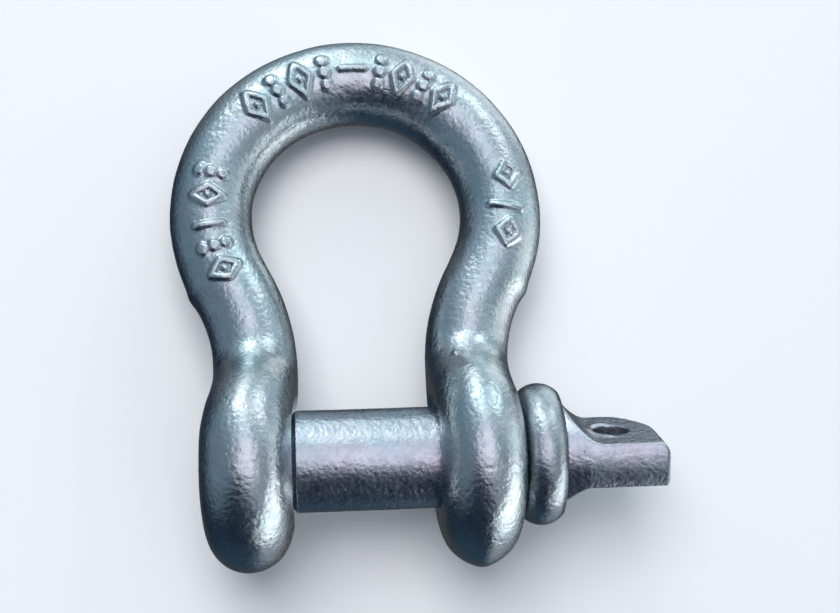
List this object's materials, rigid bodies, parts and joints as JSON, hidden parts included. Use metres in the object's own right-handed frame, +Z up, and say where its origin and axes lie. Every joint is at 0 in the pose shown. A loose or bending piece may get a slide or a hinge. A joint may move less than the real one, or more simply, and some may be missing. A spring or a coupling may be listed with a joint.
{
  "type": "bow shackle",
  "caption": "Bow shackle: a forged steel bow with an ear at each end, closed by a screw pin with a rounded collar and a flat eye.",
  "frame": {"origin": "middle of the foot of the object's box, on the surface it lies on; the shackle lies on its side, on both ears and the crown", "axes": "+X along the pin towards its eye, +Y from the pin towards the crown, +Z up off the surface"},
  "size_m": [0.0926, 0.1058, 0.0405],
  "materials": {
    "bow_zinc": "zinc plated forging, satin, finely pitted",
    "collar_zinc": "zinc plated forging, satin",
    "pin_zinc": "zinc plated, satin, fine grain"
  },
  "bodies": {
    "bow": {"bow": "bow_zinc"},
    "collar": {"pin_collar": "collar_zinc"},
    "pin": {"screw_pin": "pin_zinc"}
  },
  "joints": [
    {"name": "pin_travel", "type": "slide", "parent": "bow", "child": "collar", "axis": [1, 0, 0], "range_m": [0, 0.066]},
    {"name": "pin_turn", "type": "hinge", "parent": "collar", "child": "pin", "pos_m": [0, -0.03263, 0.02028], "axis": [1, 0, 0], "range_deg": [0, 9360]}
  ],
  "couplings": [
    {"joint": "pin_turn", "follows": "pin_travel", "rad_per_m": 2473.7}
  ]
}
